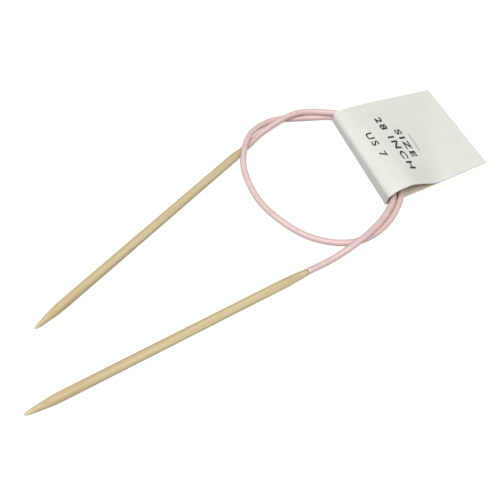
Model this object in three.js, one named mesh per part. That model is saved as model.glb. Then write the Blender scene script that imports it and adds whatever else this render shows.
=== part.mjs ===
// A circular knitting needle: two turned bamboo needles joined by one soft hollow cable, which lies in
// one and a half loose loops through a folded card size label.
// Millimetres, +Z up. It lies on the plane z = 0, its origin is in the middle under the needles and label,
// the needle points lie towards -Y and the label towards +Y.
import * as THREE from "three";

// Needles. Each is placed by the end that meets the cable and by the way that its point faces.
const NEEDLE_DIAMETER = 4.5;
const NEEDLE_LENGTH = 132.9;
const POINT_LENGTH = 16;
// The point's long curve between the full shaft and its rounded end: radius, distance from the tip.
const POINT_CURVE = [
  [2.06, 11],
  [1.66, 7],
  [1.18, 2.6],
];
const POINT_STEPS = 16;
const TIP_RADIUS = 0.8;
const TIP_ARC = 65; // degrees of the rounded end, from the axis
const TIP_STEPS = 4;
const SHOULDER_STEPS = 8; // over the rounded shoulder, where the shaft narrows to the cable
const NEEDLES = [
  { name: "needle_a", joint: [-43.73, 5.32], heading: -65.2, shoulderLength: 7 },
  { name: "needle_b", joint: [33.2, 5.2], heading: -84.6, shoulderLength: 15 },
];

// The pin that joins a needle to the cable: glued half in the needle and half in the cable's bore.
const PIN_DIAMETER = 1.3;
const PIN_IN_NEEDLE = 6.5;
const PIN_IN_CABLE = 3.5;
const PIN_CHAMFER = 0.2;
const CLEARANCE = 0.3;

// Cable: a hollow tube along one free route.
const CABLE_DIAMETER = 3.2;
const CABLE_BORE = 2.0;
const CABLE_SIDES = 8;
const CABLE_STEPS = 80;
const CABLE_ROUTE = [
  [-43.86, 5.59, 2.25], [-46.4, 11.2, 2.25], [-50.2, 19.4, 3], [-52.2, 27.1, 4.2],
  [-54, 35.4, 5.1], [-54.8, 43.2, 5], [-53.45, 51, 4.6], [-49.9, 57.8, 5.1],
  [-46.3, 63.9, 5.35], [-40.7, 68.7, 5.5], [-34.5, 73.3, 4.9], [-24.5, 77.2, 2.8],
  [-9, 79.2, 2.15], [5, 75.3, 2.15], [14.8, 68.5, 2.1], [22.4, 58.8, 1.7],
  [26.85, 48.1, 1.6], [27.95, 37.8, 1.7], [24.6, 26.2, 1.7], [15.7, 14.5, 1.6],
  [2, 5.9, 1.7], [-13, 1.1, 1.9], [-30.9, 1.3, 4.3], [-41.4, 5.9, 5.8],
  [-50.4, 13.3, 4.9], [-55.7, 22.5, 3], [-57.1, 32.2, 2], [-54.1, 43, 1.7],
  [-51.1, 52.6, 1.65], [-47.6, 61.9, 1.95], [-42.8, 67.4, 2.05], [-29.5, 72.1, 2.1],
  [-12, 74.2, 2.1], [3.5, 70.6, 2.1], [13.1, 65.2, 2.6], [20.4, 56.2, 4.1],
  [25.9, 45.4, 4.9], [29.45, 34.2, 4.9], [31.8, 20.8, 2.75], [33.17, 5.5, 2.25],
];

// Label: one card folded round the strands, its two flaps taped together along their free edges.
const LABEL_FAR_X = -45.7;
const LABEL_WIDTH = 59.6; // along the fold
const LABEL_FOLD_Y = 60.65;
const LABEL_DEPTH = 66.6; // from the fold to the free edges
const FLAPS_MEET = 34; // distance from the fold where the front flap comes down on the back one
const CARD_THICKNESS = 0.35;
const TAPE_THICKNESS = 0.15;
const TAPE_WIDTH = 14;
const TAPE_INSET = 2.3; // from the free edges and from the sides
const TAPE_GAP = 0.05;
const FRONT_FLAP_Z = CARD_THICKNESS + TAPE_THICKNESS + 2 * TAPE_GAP + CARD_THICKNESS / 2;
// The middle of the card's thickness where it bends: distance from the fold, then height.
const LABEL_BEND = [
  [4, CARD_THICKNESS / 2],
  [1.3, 0.5],
  [0.175, 2.2],
  [0.2, 5.6],
  [1.0, 7.8],
  [3.8, 9.1],
  [8.5, 9.75],
  [13, 9.75],
  [17.5, 8.5],
  [22, 5.9],
  [26, 3.6],
  [30, 1.6],
  [FLAPS_MEET, FRONT_FLAP_Z],
];
const LABEL_BEND_STEPS = 60;

const LATHE_SEGMENTS = 24;

const bamboo = new THREE.MeshStandardMaterial({ color: 0xdcc490, roughness: 0.55, metalness: 0 });
const dowel = new THREE.MeshStandardMaterial({ color: 0xe0cda0, roughness: 0.6, metalness: 0 });
const pinkTube = new THREE.MeshStandardMaterial({ color: 0xecc4c0, roughness: 0.3, metalness: 0 });
const whiteCard = new THREE.MeshStandardMaterial({ color: 0xe4e4dc, roughness: 0.8, metalness: 0 });
const clearTape = new THREE.MeshStandardMaterial({ color: 0xe8e6d8, roughness: 0.5, metalness: 0 });

function namedMesh(name, geometry, material) {
  const mesh = new THREE.Mesh(geometry, material);
  mesh.name = name;
  return mesh;
}

// A place on the rounded end's outline, at an angle in degrees from the needle's axis.
function onRoundedEnd(degrees) {
  const angle = THREE.MathUtils.degToRad(degrees);
  const fromTip = TIP_RADIUS * (1 - Math.cos(angle));
  return new THREE.Vector2(TIP_RADIUS * Math.sin(angle), NEEDLE_LENGTH - fromTip);
}

// Half of a needle's section, from the bottom of the pin's bore round the outside to the point.
// y is the distance from the joint towards the point.
function needleOutline(shoulderLength) {
  const radius = NEEDLE_DIAMETER / 2;
  const neck = CABLE_DIAMETER / 2;
  const bore = PIN_DIAMETER / 2 + CLEARANCE;
  const boreDepth = PIN_IN_NEEDLE + CLEARANCE;
  const outline = [
    new THREE.Vector2(0, boreDepth),
    new THREE.Vector2(bore, boreDepth),
    new THREE.Vector2(bore, 0),
  ];
  for (let i = 0; i <= SHOULDER_STEPS; i++) {
    const part = i / SHOULDER_STEPS;
    const swell = Math.sin((part * Math.PI) / 2);
    outline.push(new THREE.Vector2(neck + (radius - neck) * swell, part * shoulderLength));
  }
  const taper = new THREE.SplineCurve([
    new THREE.Vector2(radius, NEEDLE_LENGTH - POINT_LENGTH),
    ...POINT_CURVE.map(([r, fromTip]) => new THREE.Vector2(r, NEEDLE_LENGTH - fromTip)),
    onRoundedEnd(TIP_ARC),
  ]);
  outline.push(...taper.getPoints(POINT_STEPS));
  for (let i = TIP_STEPS - 1; i > 0; i--) outline.push(onRoundedEnd((TIP_ARC * i) / TIP_STEPS));
  outline.push(new THREE.Vector2(0, NEEDLE_LENGTH));
  return outline;
}

function pinOutline() {
  const radius = PIN_DIAMETER / 2;
  return [
    new THREE.Vector2(0, -PIN_IN_CABLE),
    new THREE.Vector2(radius - PIN_CHAMFER, -PIN_IN_CABLE),
    new THREE.Vector2(radius, -PIN_IN_CABLE + PIN_CHAMFER),
    new THREE.Vector2(radius, PIN_IN_NEEDLE - PIN_CHAMFER),
    new THREE.Vector2(radius - PIN_CHAMFER, PIN_IN_NEEDLE),
    new THREE.Vector2(0, PIN_IN_NEEDLE),
  ];
}

// A needle and its pin, laid flat with the joint at the group's origin.
function needle({ name, joint, heading, shoulderLength }) {
  const group = new THREE.Group();
  const shaft = new THREE.LatheGeometry(needleOutline(shoulderLength), LATHE_SEGMENTS);
  const pin = new THREE.LatheGeometry(pinOutline(), LATHE_SEGMENTS);
  group.add(namedMesh(name + "_shaft", shaft, bamboo));
  group.add(namedMesh(name + "_pin", pin, dowel));
  group.position.set(joint[0], joint[1], NEEDLE_DIAMETER / 2);
  group.rotation.z = THREE.MathUtils.degToRad(heading - 90);
  return group;
}

function polygon(radius, sides) {
  const points = [];
  for (let i = 0; i < sides; i++) {
    const angle = (2 * Math.PI * i) / sides;
    points.push(new THREE.Vector2(radius * Math.cos(angle), radius * Math.sin(angle)));
  }
  return points;
}

function cable() {
  const section = new THREE.Shape(polygon(CABLE_DIAMETER / 2, CABLE_SIDES));
  section.holes.push(new THREE.Path(polygon(CABLE_BORE / 2, CABLE_SIDES)));
  const route = new THREE.CatmullRomCurve3(
    CABLE_ROUTE.map((point) => new THREE.Vector3(...point)),
    false,
    "centripetal",
  );
  const tube = new THREE.ExtrudeGeometry(section, { steps: CABLE_STEPS, extrudePath: route });
  return namedMesh("cable", tube, pinkTube);
}

// The outline of a sheet of even thickness that follows a line.
function sheetOutline(line, thickness) {
  const sides = [[], []];
  line.forEach((point, i) => {
    const before = line[Math.max(i - 1, 0)];
    const after = line[Math.min(i + 1, line.length - 1)];
    const along = after.clone().sub(before).normalize();
    const across = new THREE.Vector2(-along.y, along.x).multiplyScalar(thickness / 2);
    sides[0].push(point.clone().add(across));
    sides[1].push(point.clone().sub(across));
  });
  return [...sides[0], ...sides[1].reverse()];
}

// An outline in Y and Z, drawn out along X between two places.
function extrudeAlongX(outline, fromX, toX) {
  const shape = new THREE.Shape(outline);
  const body = new THREE.ExtrudeGeometry(shape, { depth: toX - fromX, bevelEnabled: false });
  // The shape's own axes become +Y and +Z, and its depth becomes +X.
  const basis = new THREE.Matrix4().makeBasis(
    new THREE.Vector3(0, 1, 0),
    new THREE.Vector3(0, 0, 1),
    new THREE.Vector3(1, 0, 0),
  );
  return body.applyMatrix4(basis).translate(fromX, 0, 0);
}

function labelCard() {
  const bend = new THREE.SplineCurve(LABEL_BEND.map(([y, z]) => new THREE.Vector2(y, z)));
  const line = [
    new THREE.Vector2(LABEL_DEPTH, CARD_THICKNESS / 2),
    ...bend.getPoints(LABEL_BEND_STEPS),
    new THREE.Vector2(LABEL_DEPTH, FRONT_FLAP_Z),
  ];
  line.forEach((point) => (point.x += LABEL_FOLD_Y));
  const outline = sheetOutline(line, CARD_THICKNESS);
  const body = extrudeAlongX(outline, LABEL_FAR_X, LABEL_FAR_X + LABEL_WIDTH);
  return namedMesh("label_card", body, whiteCard);
}

function labelTape() {
  const freeEdgeY = LABEL_FOLD_Y + LABEL_DEPTH - TAPE_INSET;
  const bottom = CARD_THICKNESS + TAPE_GAP;
  const outline = [
    new THREE.Vector2(freeEdgeY - TAPE_WIDTH, bottom),
    new THREE.Vector2(freeEdgeY, bottom),
    new THREE.Vector2(freeEdgeY, bottom + TAPE_THICKNESS),
    new THREE.Vector2(freeEdgeY - TAPE_WIDTH, bottom + TAPE_THICKNESS),
  ];
  const body = extrudeAlongX(
    outline,
    LABEL_FAR_X + TAPE_INSET,
    LABEL_FAR_X + LABEL_WIDTH - TAPE_INSET,
  );
  return namedMesh("label_tape", body, clearTape);
}

const circularNeedle = new THREE.Group();
NEEDLES.forEach((each) => circularNeedle.add(needle(each)));
circularNeedle.add(cable());
circularNeedle.add(labelCard());
circularNeedle.add(labelTape());

export default circularNeedle;
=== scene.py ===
# A circular knitting needle: two bamboo needles on one soft pink tube, looped through its folded card label.
# Metres, +Z up, in the CAD model's frame. It lies on the plane z = 0.
import math

import bmesh
import bpy
import numpy as np
from mathutils import Matrix, Vector


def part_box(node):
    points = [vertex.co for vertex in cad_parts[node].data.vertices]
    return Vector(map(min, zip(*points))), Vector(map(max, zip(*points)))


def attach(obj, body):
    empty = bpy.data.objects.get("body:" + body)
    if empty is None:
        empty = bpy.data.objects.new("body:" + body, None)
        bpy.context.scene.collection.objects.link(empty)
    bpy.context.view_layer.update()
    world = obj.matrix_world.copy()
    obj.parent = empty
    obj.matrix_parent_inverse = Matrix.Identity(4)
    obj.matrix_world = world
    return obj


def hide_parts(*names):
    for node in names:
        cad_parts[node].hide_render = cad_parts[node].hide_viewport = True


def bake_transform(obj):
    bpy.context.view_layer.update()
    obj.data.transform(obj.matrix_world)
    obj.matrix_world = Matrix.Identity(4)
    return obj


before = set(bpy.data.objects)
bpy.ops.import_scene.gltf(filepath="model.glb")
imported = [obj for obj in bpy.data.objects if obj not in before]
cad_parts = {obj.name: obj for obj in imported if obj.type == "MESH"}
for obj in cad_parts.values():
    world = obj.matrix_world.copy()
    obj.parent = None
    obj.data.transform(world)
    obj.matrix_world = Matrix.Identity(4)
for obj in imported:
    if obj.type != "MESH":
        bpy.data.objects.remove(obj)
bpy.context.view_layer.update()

MM = 0.001

# ---------------------------------------------------------------- camera

LOOK_AT = Vector((0.01135, -0.01405, 0.0))
CAMERA_DISTANCE = 0.2396
CAMERA_AZIMUTH = 60.5  # degrees round from looking along +Y
CAMERA_ELEVATION = 61.55
CAMERA_ROLL = 6.18
LENS = 36.0
SENSOR = 36.0


def make_camera():
    turn = math.radians(CAMERA_AZIMUTH)
    tilt = math.radians(CAMERA_ELEVATION)
    roll = math.radians(CAMERA_ROLL)
    forward = Vector((-math.sin(turn) * math.cos(tilt), math.cos(turn) * math.cos(tilt), -math.sin(tilt)))
    level_right = Vector((math.cos(turn), math.sin(turn), 0.0))
    level_up = level_right.cross(forward)
    right = math.cos(roll) * level_right + math.sin(roll) * level_up
    up = math.cos(roll) * level_up - math.sin(roll) * level_right
    data = bpy.data.cameras.new("camera")
    data.lens = LENS
    data.sensor_width = SENSOR
    data.clip_start = 0.01
    camera = bpy.data.objects.new("camera", data)
    pose = Matrix((right, up, -forward)).transposed().to_4x4()
    pose.translation = LOOK_AT - forward * CAMERA_DISTANCE
    camera.matrix_world = pose
    bpy.context.scene.collection.objects.link(camera)
    bpy.context.scene.camera = camera


# ---------------------------------------------------------------- mesh and node helpers


def mesh_object(name, vertices, faces, materials, crease=40):
    """A smooth-shaded mesh object, with edges sharper than crease degrees kept sharp."""
    mesh = bpy.data.meshes.new(name)
    mesh.from_pydata([tuple(v) for v in vertices], [], faces)
    for each in materials:
        mesh.materials.append(each)
    mesh.shade_smooth()
    mesh.set_sharp_from_angle(angle=math.radians(crease))
    obj = bpy.data.objects.new(name, mesh)
    bpy.context.scene.collection.objects.link(obj)
    return obj


def ring_faces(rings, sides):
    """Quads that join each ring of vertices to the next one."""
    faces = []
    for i in range(rings - 1):
        for j in range(sides):
            k = (j + 1) % sides
            faces.append((i * sides + j, i * sides + k, (i + 1) * sides + k, (i + 1) * sides + j))
    return faces


def closed_ring_faces(rings, sides):
    """The faces of a turned solid: a point, rings of vertices, and another point."""
    last = rings * sides + 1
    faces = [tuple(v + 1 for v in face) for face in ring_faces(rings, sides)]
    faces += [(0, (j + 1) % sides + 1, j + 1) for j in range(sides)]
    faces += [(last, last - sides + j, last - sides + (j + 1) % sides) for j in range(sides)]
    return faces


class Nodes:
    """A material's node tree, with short calls for the nodes that the materials below use."""

    def __init__(self, name):
        self.material = bpy.data.materials.new(name)
        self.material.use_nodes = True
        self.tree = self.material.node_tree
        self.shader = self.tree.nodes["Principled BSDF"]

    def add(self, kind, **settings):
        node = self.tree.nodes.new(kind)
        for key, value in settings.items():
            setattr(node, key, value)
        return node

    def link(self, output, socket):
        self.tree.links.new(output, socket)

    def place(self, scale):
        """The object's own coordinates, in metres, times scale."""
        coordinates = self.add("ShaderNodeTexCoord")
        mapping = self.add("ShaderNodeMapping")
        mapping.inputs["Scale"].default_value = scale
        self.link(coordinates.outputs["Object"], mapping.inputs["Vector"])
        return mapping.outputs["Vector"]

    def noise(self, scale, detail=3.0, roughness=0.5):
        node = self.add("ShaderNodeTexNoise")
        self.link(self.place(scale), node.inputs["Vector"])
        node.inputs["Scale"].default_value = 1.0
        node.inputs["Detail"].default_value = detail
        node.inputs["Roughness"].default_value = roughness
        return node.outputs["Fac"]

    def ramp(self, value, stops):
        node = self.add("ShaderNodeValToRGB")
        elements = node.color_ramp.elements
        while len(elements) < len(stops):
            elements.new(0.5)
        for element, (position, shade) in zip(elements, stops):
            element.position = position
            element.color = (*shade, 1.0) if hasattr(shade, "__len__") else (shade, shade, shade, 1.0)
        self.link(value, node.inputs["Fac"])
        return node.outputs["Color"]

    def mix(self, factor, first, second, blend="MIX"):
        node = self.add("ShaderNodeMix", data_type="RGBA", blend_type=blend)
        for value, socket in ((factor, node.inputs[0]), (first, node.inputs[6]), (second, node.inputs[7])):
            if isinstance(value, bpy.types.NodeSocket):
                self.link(value, socket)
            elif hasattr(value, "__len__"):
                socket.default_value = (*value, 1.0)
            else:
                socket.default_value = value
        return node.outputs[2]

    def bump(self, height, strength, distance):
        node = self.add("ShaderNodeBump")
        node.inputs["Strength"].default_value = strength
        node.inputs["Distance"].default_value = distance
        self.link(height, node.inputs["Height"])
        self.link(node.outputs["Normal"], self.shader.inputs["Normal"])

    def set(self, **values):
        for name, value in values.items():
            socket = self.shader.inputs[name.replace("_", " ")]
            if isinstance(value, bpy.types.NodeSocket):
                self.link(value, socket)
            elif hasattr(value, "__len__") and len(socket.default_value) == 4:
                socket.default_value = (*value, 1.0)
            else:
                socket.default_value = value


# ---------------------------------------------------------------- materials


def bamboo_material():
    """Pale bamboo. Its fibres run along the object's own X axis."""
    n = Nodes("bamboo")
    bands = n.noise((12, 700, 700), detail=2)
    fibres = n.noise((45, 5200, 5200), detail=4, roughness=0.6)
    pores = n.noise((160, 6800, 6800), detail=1)
    tone = n.ramp(bands, [(0.3, (0.60, 0.475, 0.27)), (0.7, (0.71, 0.625, 0.40))])
    streaks = n.ramp(fibres, [(0.3, (0.80, 0.70, 0.52)), (0.52, (1.0, 1.0, 1.0)), (0.8, (1.04, 1.03, 0.98))])
    colour = n.mix(1.0, tone, streaks, "MULTIPLY")
    dashes = n.ramp(pores, [(0.66, 0.0), (0.74, 1.0)])
    colour = n.mix(n.mix(1.0, dashes, (0.35, 0.35, 0.35), "MULTIPLY"), colour, (0.50, 0.36, 0.18))
    roughness = n.ramp(fibres, [(0.3, 0.62), (0.8, 0.42)])
    n.set(Base_Color=colour, Roughness=roughness)
    n.set(Subsurface_Weight=0.08, Subsurface_Radius=(0.6 * MM, 0.35 * MM, 0.15 * MM), Subsurface_Scale=1.0)
    n.bump(fibres, 0.25, 0.03 * MM)
    return n.material


def tube_material():
    """Soft pink see-through vinyl."""
    n = Nodes("pink_tube")
    cloud = n.noise((120, 120, 120), detail=2)
    colour = n.ramp(cloud, [(0.3, (0.73, 0.525, 0.505)), (0.7, (0.77, 0.57, 0.55))])
    fine = n.noise((900, 900, 900), detail=2)
    n.set(Base_Color=colour, Roughness=n.ramp(fine, [(0.3, 0.28), (0.7, 0.36)]), IOR=1.46)
    n.set(Subsurface_Weight=0.12, Subsurface_Radius=(0.8 * MM, 0.8 * MM, 0.8 * MM), Subsurface_Scale=1.0)
    return n.material


def card_material(name, light, dark):
    """Uncoated card: faint mottling, and fibres pressed in its surface."""
    n = Nodes(name)
    mottle = n.noise((260, 260, 260), detail=4, roughness=0.6)
    fibres = n.noise((2600, 1500, 2600), detail=5, roughness=0.65)
    colour = n.ramp(mottle, [(0.3, dark), (0.7, light)])
    speck = n.ramp(fibres, [(0.3, (0.965, 0.965, 0.96)), (0.6, (1.0, 1.0, 1.0))])
    n.set(Base_Color=n.mix(1.0, colour, speck, "MULTIPLY"), Roughness=0.72)
    n.bump(fibres, 0.3, 0.03 * MM)
    return n.material


def ink_material():
    n = Nodes("print_ink")
    wear = n.noise((4200, 4200, 4200), detail=3)
    colour = n.ramp(wear, [(0.3, (0.020, 0.020, 0.022)), (0.75, (0.060, 0.058, 0.055))])
    n.set(Base_Color=colour, Roughness=0.6)
    return n.material


def tape_material():
    n = Nodes("clear_tape")
    wrinkles = n.noise((300, 1400, 300), detail=3)
    n.set(Base_Color=n.ramp(wrinkles, [(0.3, (0.80, 0.78, 0.68)), (0.7, (0.88, 0.86, 0.77))]))
    n.set(Roughness=0.35, Transmission_Weight=0.3)
    n.bump(wrinkles, 0.3, 0.05 * MM)
    return n.material


# ---------------------------------------------------------------- cable

CABLE_DIAMETER = 3.2 * MM
CABLE_BORE = 2.0 * MM
SOCKET_STEPS = 14  # how many rings deep the bore goes, past the pin at each end
SOCKET_FLARE = 0.46 * MM  # how much wider it is inside, where the stiff pin tilts as its needle swings
SOCKET_FLARE_STEPS = 8
CABLE_SIDES = 32
CABLE_SPAN_STEPS = 16  # rings between one point of the route and the next
CABLE_END_ROUND = 0.14 * MM
CABLE_ROUTE = [
    (-0.04386, 0.00559, 0.00225), (-0.0464, 0.0112, 0.00225), (-0.0502, 0.0194, 0.003),
    (-0.0522, 0.0271, 0.0042), (-0.054, 0.0354, 0.0051), (-0.0548, 0.0432, 0.005),
    (-0.05345, 0.051, 0.0046), (-0.0499, 0.0578, 0.0051), (-0.0463, 0.0639, 0.00535),
    (-0.0407, 0.0687, 0.0055), (-0.0345, 0.0733, 0.0049), (-0.0245, 0.0772, 0.0028),
    (-0.009, 0.0792, 0.00215), (0.005, 0.0753, 0.00215), (0.0148, 0.0685, 0.0021),
    (0.0224, 0.0588, 0.0017), (0.02685, 0.0481, 0.0016), (0.02795, 0.0378, 0.0017),
    (0.0246, 0.0262, 0.0017), (0.0157, 0.0145, 0.0016), (0.002, 0.0059, 0.0017),
    (-0.013, 0.0011, 0.0019), (-0.0309, 0.0013, 0.0043), (-0.0414, 0.0059, 0.0058),
    (-0.0504, 0.0133, 0.0049), (-0.0557, 0.0225, 0.003), (-0.0571, 0.0322, 0.002),
    (-0.0541, 0.043, 0.0017), (-0.0511, 0.0526, 0.00165), (-0.0476, 0.0619, 0.00195),
    (-0.0428, 0.0674, 0.00205), (-0.0295, 0.0721, 0.0021), (-0.012, 0.0742, 0.0021),
    (0.0035, 0.0706, 0.0021), (0.0131, 0.0652, 0.0026), (0.0204, 0.0562, 0.0041),
    (0.0259, 0.0454, 0.0049), (0.02945, 0.0342, 0.0049), (0.0318, 0.0208, 0.00275),
    (0.03317, 0.0055, 0.00225),
]


def centripetal(points, steps):
    """A centripetal Catmull-Rom curve through the points."""
    points = np.array(points, float)
    ends = [2 * points[0] - points[1], *points, 2 * points[-1] - points[-2]]
    curve = []
    for p0, p1, p2, p3 in zip(ends, ends[1:], ends[2:], ends[3:]):
        t1 = math.sqrt(np.linalg.norm(p1 - p0))
        t2 = t1 + math.sqrt(np.linalg.norm(p2 - p1))
        t3 = t2 + math.sqrt(np.linalg.norm(p3 - p2))
        for t in np.linspace(t1, t2, steps, endpoint=False):
            a1 = p0 + (p1 - p0) * t / t1
            a2 = p1 + (p2 - p1) * (t - t1) / (t2 - t1)
            a3 = p2 + (p3 - p2) * (t - t2) / (t3 - t2)
            b1 = a1 + (a2 - a1) * t / t2
            b2 = a2 + (a3 - a2) * (t - t1) / (t3 - t1)
            curve.append(b1 + (b2 - b1) * (t - t1) / (t2 - t1))
    return np.array([*curve, points[-1]])


def carried_frames(path):
    """Two directions across a path at each of its points, carried along it without twist."""
    along = np.gradient(path, axis=0)
    along /= np.linalg.norm(along, axis=1)[:, None]
    side = np.cross(along[0], (0, 0, 1))
    frames = []
    for direction in along:
        side = side - direction * side.dot(direction)
        side /= np.linalg.norm(side)
        frames.append((side, np.cross(direction, side)))
    return frames


def make_cable(material):
    """The cable, with a socket at each end for the needle's pin. Between them it is drawn solid."""
    path = centripetal(CABLE_ROUTE, CABLE_SPAN_STEPS)
    frames = carried_frames(path)
    outer, inner = CABLE_DIAMETER / 2, CABLE_BORE / 2
    last = len(path) - 1
    socket = [inner + SOCKET_FLARE * min(1.0, i / SOCKET_FLARE_STEPS) for i in range(SOCKET_STEPS + 1)]
    # Each ring is a place on the path and a radius: out of one socket, along the outside, into the other.
    rings = [(i, socket[i]) for i in range(SOCKET_STEPS, 0, -1)]
    rings += [(0, inner + CABLE_END_ROUND), (0, outer - CABLE_END_ROUND)]
    rings += [(i, outer) for i in range(1, last)]
    rings += [(last, outer - CABLE_END_ROUND), (last, inner + CABLE_END_ROUND)]
    rings += [(last - i, socket[i]) for i in range(1, SOCKET_STEPS + 1)]
    vertices = [path[SOCKET_STEPS]]
    for i, radius in rings:
        for angle in np.arange(CABLE_SIDES) * 2 * math.pi / CABLE_SIDES:
            across = math.cos(angle) * frames[i][0] + math.sin(angle) * frames[i][1]
            vertices.append(path[i] + radius * across)
    vertices.append(path[last - SOCKET_STEPS])
    faces = closed_ring_faces(len(rings), CABLE_SIDES)
    return mesh_object("pink_cable", vertices, faces, [material]), path


# ---------------------------------------------------------------- needles

NEEDLE_SIDES = 96
SHOULDER_STEPS = 24
POINT_STEPS = 48
POINT_LENGTH = 16 * MM
# The point's long curve between the full shaft and its rounded end: radius, distance from the tip.
POINT_CURVE = [(2.06 * MM, 11 * MM), (1.64 * MM, 7 * MM), (1.10 * MM, 2.6 * MM)]
TIP_RADIUS = 0.66 * MM
TIP_ARC = 65  # degrees of the rounded end, from the axis
TIP_STEPS = 8
STRAIGHT_STEPS = 40
BORE_RADIUS = 0.95 * MM
BORE_DEPTH = 6.8 * MM
SHOULDER_LENGTHS = {"needle_a": 7 * MM, "needle_b": 15 * MM}
NECK_RADIUS = CABLE_DIAMETER / 2
END_ROUND = 0.12 * MM
HAND_TURNING = 0.018 * MM  # how far the sanded surface wanders from a true cylinder
# How that wander turns along the shaft, in radians a metre: a slow twist, a swell, and a finer ripple.
TWIST_RATE = 90
SWELL_RATE = 40
RIPPLE_RATE = 260
RIPPLE_SHARE = 0.6


def needle_axis(node, cable_end):
    """Where a CAD needle's joint end is, and the direction from there to its point, and its length."""
    vertices = np.array([v.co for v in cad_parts[node].data.vertices], float)
    tip = vertices[np.linalg.norm(vertices - cable_end, axis=1).argmax()]
    direction = (tip - cable_end) / np.linalg.norm(tip - cable_end)
    along = vertices @ direction
    length = along.max() - along.min()
    return Vector(tip - direction * length), Vector(direction), length


def needle_outline(length, radius, shoulder):
    """(distance from the joint, radius) of a needle's section, from the pin's bore round to the tip."""
    outline = [(BORE_DEPTH, BORE_RADIUS), (0.0, BORE_RADIUS), (0.0, NECK_RADIUS - END_ROUND)]
    for i in range(SHOULDER_STEPS + 1):
        part = i / SHOULDER_STEPS
        swell = math.sin(part * math.pi / 2)
        outline.append((max(part * shoulder, END_ROUND), NECK_RADIUS + (radius - NECK_RADIUS) * swell))
    straight = length - POINT_LENGTH - shoulder
    outline += [(shoulder + straight * i / STRAIGHT_STEPS, radius) for i in range(1, STRAIGHT_STEPS)]
    arc_end = math.radians(TIP_ARC)
    rounded_end = (length - TIP_RADIUS * (1 - math.cos(arc_end)), TIP_RADIUS * math.sin(arc_end))
    curve = [(length - POINT_LENGTH, radius)] + [(length - x, r) for r, x in POINT_CURVE] + [rounded_end]
    outline += [tuple(p) for p in centripetal(curve, POINT_STEPS // len(curve))[:-1]]
    for i in range(TIP_STEPS, 0, -1):
        angle = arc_end * i / TIP_STEPS
        outline.append((length - TIP_RADIUS * (1 - math.cos(angle)), TIP_RADIUS * math.sin(angle)))
    return outline


def make_needle(name, cable_end, material, seed):
    start, direction, length = needle_axis(name + "_shaft", cable_end)
    low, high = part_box(name + "_shaft")
    radius = (high.z - low.z) / 2
    outline = needle_outline(length, radius, SHOULDER_LENGTHS[name])
    vertices = [(BORE_DEPTH, 0.0, 0.0)]
    for x, r in outline:
        for angle in np.arange(NEEDLE_SIDES) * 2 * math.pi / NEEDLE_SIDES:
            wander = math.sin(2 * angle + TWIST_RATE * x + seed) * math.sin(SWELL_RATE * x + 2 * seed)
            wander += RIPPLE_SHARE * math.sin(5 * angle + RIPPLE_RATE * x + 3 * seed)
            sanded = r - HAND_TURNING * (1 + 0.5 * wander) * min(1.0, r / radius) ** 2
            vertices.append((x, sanded * math.cos(angle), sanded * math.sin(angle)))
    vertices.append((length, 0.0, 0.0))
    faces = closed_ring_faces(len(outline), NEEDLE_SIDES)
    needle = mesh_object(name + "_bamboo", vertices, faces, [material])
    heading = math.atan2(direction.y, direction.x)
    needle.matrix_world = Matrix.Translation(start) @ Matrix.Rotation(heading, 4, "Z")
    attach(needle, name)
    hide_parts(name + "_shaft")


# ---------------------------------------------------------------- label

CARD_THICKNESS = 0.35 * MM
CARD_STATIONS = 60  # along the fold
CARD_STEPS = 12  # between one point of a profile and the next
FOLD_SLANT = 1.4 * MM  # how much nearer the needles the fold's near end lies than its far end
NEAR_EDGE_LEAN = 2.65 * MM  # how far the near edge curves back towards the free edges
NEAR_EDGE_CURVE = 1.5  # 1 would be a straight edge
FAR_EDGE_LEAN = 0.6 * MM  # how far the far edge slants outwards towards the free edges
# The middle of the card's thickness at its two open ends, from the back flap's free edge round the fold
# to the front flap's free edge: distance from the fold, height.
NEAR_PROFILE = [
    (66.4, 0.18), (48, 0.18), (34, 0.18), (20, 0.18), (10, 0.18), (3, 0.18), (1.0, 0.2), (0.35, 0.36),
    (0.175, 0.9), (0.175, 3.2), (0.175, 5.2), (0.25, 6.3), (0.6, 7.1), (1.3, 7.8), (3.2, 9.2), (5.5, 10.1),
    (8.5, 10.4), (12, 10.4), (17, 8.8), (21, 6.8), (24.4, 5.1), (28.5, 2.9), (32, 1.4), (36, 0.75),
    (48, 0.62), (66.4, 0.6),
]
FAR_PROFILE = [
    (66.6, 0.18), (48, 0.18), (34, 0.18), (20, 0.18), (10, 0.18), (3, 0.2), (0.9, 0.35), (0.1, 1.0),
    (-0.35, 2.2), (-0.4, 3.4), (-0.4, 4.8), (-0.1, 5.8), (0.45, 6.6), (1.45, 7.2), (3.5, 7.6), (6, 7.75),
    (11, 7.6), (16, 7.1), (22.5, 6.4), (28.5, 5.65), (34.8, 4.8), (45.6, 3.4), (56.5, 2.0), (62.5, 1.15),
    (65.4, 0.8), (66.6, 0.75),
]


def card_sheet():
    """The card's middle surface, as points of a grid: stations along the fold by steps round the profile."""
    low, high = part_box("label_card")
    near, far = (centripetal(np.array(p) * MM, CARD_STEPS) for p in (NEAR_PROFILE, FAR_PROFILE))
    depth = high.y - low.y
    grid = []
    for part in np.linspace(0, 1, CARD_STATIONS + 1):
        profile = far + (near - far) * part
        reach = np.clip(profile[:, 0] / depth, 0, 1)
        lean = NEAR_EDGE_LEAN * part * reach**NEAR_EDGE_CURVE + FAR_EDGE_LEAN * (1 - part) * reach
        x = low.x + (high.x - low.x) * part - lean
        y = low.y + FOLD_SLANT * (1 - part) + profile[:, 0] * (1 - FOLD_SLANT * (1 - part) / depth)
        grid.append(np.stack([x, y, profile[:, 1]], axis=1))
    return np.array(grid)


def sheet_normals(grid):
    """Unit normals of a grid of points, facing out of the folded card."""
    normals = np.cross(np.gradient(grid, axis=0), np.gradient(grid, axis=1))
    return normals / np.linalg.norm(normals, axis=2)[:, :, None]


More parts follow.
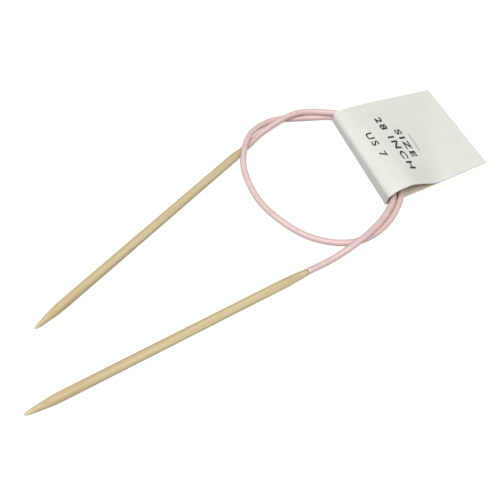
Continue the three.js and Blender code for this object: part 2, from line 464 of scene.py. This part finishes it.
def make_label(outside, inside, edge):
    grid = card_sheet()
    half = sheet_normals(grid) * CARD_THICKNESS / 2
    stations, steps = grid.shape[:2]
    layers = [grid + half, grid - half]
    vertices = np.concatenate([layer.reshape(-1, 3) for layer in layers])

    def index(layer, i, j):
        return (layer * stations + i) * steps + j

    faces, slots = [], []
    for i in range(stations - 1):
        for j in range(steps - 1):
            corners = [(i, j), (i + 1, j), (i + 1, j + 1), (i, j + 1)]
            faces.append([index(0, *c) for c in corners])
            faces.append([index(1, *c) for c in corners[::-1]])
            slots += [0, 1]
    border = [(i, 0) for i in range(stations)] + [(stations - 1, j) for j in range(1, steps)]
    border += [(i, steps - 1) for i in range(stations - 2, -1, -1)]
    border += [(0, j) for j in range(steps - 2, 0, -1)]
    for first, second in zip(border, border[1:] + border[:1]):
        faces.append([index(0, *second), index(0, *first), index(1, *first), index(1, *second)])
        slots.append(2)
    card = mesh_object("folded_card", vertices, faces, [outside, inside, edge])
    card.data.polygons.foreach_set("material_index", slots)
    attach(card, "label")
    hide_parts("label_card")
    return grid, sheet_normals(grid)


# ---------------------------------------------------------------- printing on the label

PRINT_HEIGHT = 0.03 * MM
PRINT_CUT = 0.8 * MM  # the letters are cut this finely, so that they follow the card
PRINT_MERGE = 0.002 * MM  # letter corners closer than this become one
PRINT_RISE = 0.3  # how far the print's middle stands above the card's surface, as a part of its height
PRINT_CUT_TOLERANCE = 1e-7
LETTER_SPACING = 1.3
FRONT_FLAP_START = (5, 9)  # the front flap starts after this share of the steps round a profile, 5 in 9
# The words, the middle and height of their capitals and their width, from the label's near fold corner,
# and how much the strokes are thickened.
PRINT_LINES = [
    ("SIZE", -27.8, 28.3, 4.1, 19.5, 0.032),
    ("28 INCH", -29.2, 21.4, 4.3, 37.5, 0.032),
    ("US 7", -30.3, 10.1, 4.0, 17.5, 0.02),
]
PRINT_RULE = (-27.2, 34.0, 0.28, 11.6)


def flat_letters(words, bold):
    """A word as a thin flat solid mesh, 1 unit high before it is fitted."""
    curve = bpy.data.curves.new("letters", "FONT")
    curve.body = words
    curve.offset = bold
    curve.extrude = 0.5
    curve.space_character = LETTER_SPACING
    text = bpy.data.objects.new("letters", curve)
    bpy.context.scene.collection.objects.link(text)
    bpy.context.view_layer.update()
    mesh = bpy.data.meshes.new_from_object(text.evaluated_get(bpy.context.evaluated_depsgraph_get()))
    bpy.data.objects.remove(text)
    return mesh


def flat_rule():
    mesh = bpy.data.meshes.new("rule")
    bm = bmesh.new()
    bmesh.ops.create_cube(bm, size=1.0)
    bm.to_mesh(mesh)
    bm.free()
    return mesh


def print_on_card(name, mesh, place, surface, ink):
    """Fits a flat mesh to a place on the front flap, and lays it on the card's curve."""
    grid, normals = surface
    centre_x, centre_y, height, width = (v * MM for v in place)
    corner = Vector((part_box("label_card")[1].x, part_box("label_card")[0].y, 0))
    co = np.array([v.co for v in mesh.vertices], float)
    low, high = co.min(axis=0), co.max(axis=0)
    flat = (co - (low + high) / 2) / (high - low) * (width, height, 1.0)
    flat += (corner.x + centre_x, corner.y + centre_y, 0.0)
    mesh.vertices.foreach_set("co", flat.ravel())
    bm = bmesh.new()
    bm.from_mesh(mesh)
    bmesh.ops.remove_doubles(bm, verts=bm.verts, dist=PRINT_MERGE)
    for axis, span in ((0, width), (1, height)):
        middle = (corner.x + centre_x, corner.y + centre_y)[axis]
        for cut in np.arange(-span / 2, span / 2, PRINT_CUT)[1:]:
            at, facing = Vector((0, 0, 0)), Vector((0, 0, 0))
            at[axis], facing[axis] = middle + cut, 1.0
            everything = bm.verts[:] + bm.edges[:] + bm.faces[:]
            plane = {"plane_co": at, "plane_no": facing, "dist": PRINT_CUT_TOLERANCE}
            bmesh.ops.bisect_plane(bm, geom=everything, **plane)
    for vertex in bm.verts:
        vertex.co = on_front_flap(vertex.co, grid, normals)
    bm.to_mesh(mesh)
    bm.free()
    mesh.materials.clear()
    mesh.materials.append(ink)
    printed = bpy.data.objects.new(name, mesh)
    bpy.context.scene.collection.objects.link(printed)
    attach(printed, "label")


def on_front_flap(point, grid, normals):
    """The place on the front flap's outer face over or under a point, raised by the print's height."""
    stations, steps = grid.shape[:2]
    part = (point.x - grid[0, :, 0].min()) / (grid[-1, :, 0].max() - grid[0, :, 0].min()) * (stations - 1)
    i = int(np.clip(part, 0, stations - 2))
    blend = np.clip(part - i, 0, 1)
    row = grid[i] * (1 - blend) + grid[i + 1] * blend
    turn = normals[i] * (1 - blend) + normals[i + 1] * blend
    share, whole = FRONT_FLAP_START
    front = slice(steps * share // whole, steps)
    lift = CARD_THICKNESS / 2 + PRINT_HEIGHT * (point.z + PRINT_RISE)
    z = np.interp(point.y, row[front, 1], row[front, 2])
    facing = [np.interp(point.y, row[front, 1], turn[front, k]) for k in range(3)]
    return Vector((point.x, point.y, z)) + Vector(facing) * lift


# ---------------------------------------------------------------- floor, light and world

FLOOR_HALF_SIZE = 3
FLOOR_GAP = 0.05 * MM  # how far the floor lies under the object
FLOOR_LIFT = 0.75  # extra brightness of the floor where the camera sees it
FLOOR_GREY = 0.45
WORLD_LIGHT = 0.26  # the world's strength where it lights the object
WORLD_SEEN = 1.0  # and where the camera sees it
# Each light's place, size and power.
SOFTBOX = ((0.14, -0.02, 0.82), 0.60, 6.1)
FILL_LIGHT = ((0.10, -0.70, 0.30), 0.50, 1.5)


def make_stage():
    half = FLOOR_HALF_SIZE
    corners = [(-half, -half, 0), (half, -half, 0), (half, half, 0), (-half, half, 0)]
    floor = mesh_object("floor", corners, [(0, 1, 2, 3)], [floor_material()])
    floor.location.z = -FLOOR_GAP


def floor_material():
    """Pale paper, a little overexposed where it is seen, so that the background is white."""
    n = Nodes("floor")
    n.set(Base_Color=(FLOOR_GREY, FLOOR_GREY, FLOOR_GREY), Roughness=0.9)
    n.set(Specular_IOR_Level=0.0, Emission_Color=(1, 1, 1))
    seen = n.add("ShaderNodeLightPath").outputs["Is Camera Ray"]
    lift = n.add("ShaderNodeMath", operation="MULTIPLY")
    lift.inputs[1].default_value = FLOOR_LIFT
    n.link(seen, lift.inputs[0])
    n.set(Emission_Strength=lift.outputs[0])
    return n.material


def area_light(name, place, size, power):
    """A square light that faces the frame's origin."""
    data = bpy.data.lights.new(name, "AREA")
    data.size = size
    data.energy = power
    light = bpy.data.objects.new(name, data)
    light.location = place
    light.rotation_mode = "QUATERNION"
    light.rotation_quaternion = (-Vector(place)).to_track_quat("-Z", "Y")
    bpy.context.scene.collection.objects.link(light)


def make_lights():
    world = bpy.data.worlds.new("studio")
    world.use_nodes = True
    tree = world.node_tree
    background = tree.nodes["Background"]
    background.inputs["Color"].default_value = (1, 1, 1, 1)
    seen = tree.nodes.new("ShaderNodeLightPath")
    strength = tree.nodes.new("ShaderNodeMapRange")
    strength.inputs["To Min"].default_value = WORLD_LIGHT
    strength.inputs["To Max"].default_value = WORLD_SEEN
    tree.links.new(seen.outputs["Is Camera Ray"], strength.inputs["Value"])
    tree.links.new(strength.outputs["Result"], background.inputs["Strength"])
    bpy.context.scene.world = world
    bpy.context.scene.view_settings.view_transform = "Standard"
    area_light("softbox", *SOFTBOX)
    area_light("fill", *FILL_LIGHT)


# ---------------------------------------------------------------- assembly

make_camera()

pink = tube_material()
cable, cable_path = make_cable(pink)
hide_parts("cable")
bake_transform(cable)

bamboo = bamboo_material()
for seed, name, cable_end in ((1, "needle_a", CABLE_ROUTE[0]), (2, "needle_b", CABLE_ROUTE[-1])):
    make_needle(name, cable_end, bamboo, seed)
    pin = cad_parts[name + "_pin"]
    pin.data.materials.clear()
    pin.data.materials.append(bamboo)

card_outside = card_material("card_outside", (0.785, 0.785, 0.735), (0.755, 0.755, 0.70))
card_inside = card_material("card_inside", (0.80, 0.73, 0.60), (0.76, 0.69, 0.56))
card_edge = card_material("card_edge", (0.80, 0.76, 0.64), (0.74, 0.69, 0.56))
surface = make_label(card_outside, card_inside, card_edge)
ink = ink_material()
for i, (words, x, y, height, width, bold) in enumerate(PRINT_LINES):
    print_on_card(f"print_line_{i + 1}", flat_letters(words, bold), (x, y, height, width), surface, ink)
print_on_card("print_rule", flat_rule(), PRINT_RULE, surface, ink)

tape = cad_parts["label_tape"]
tape.data.materials.clear()
tape.data.materials.append(tape_material())

make_stage()
make_lights()
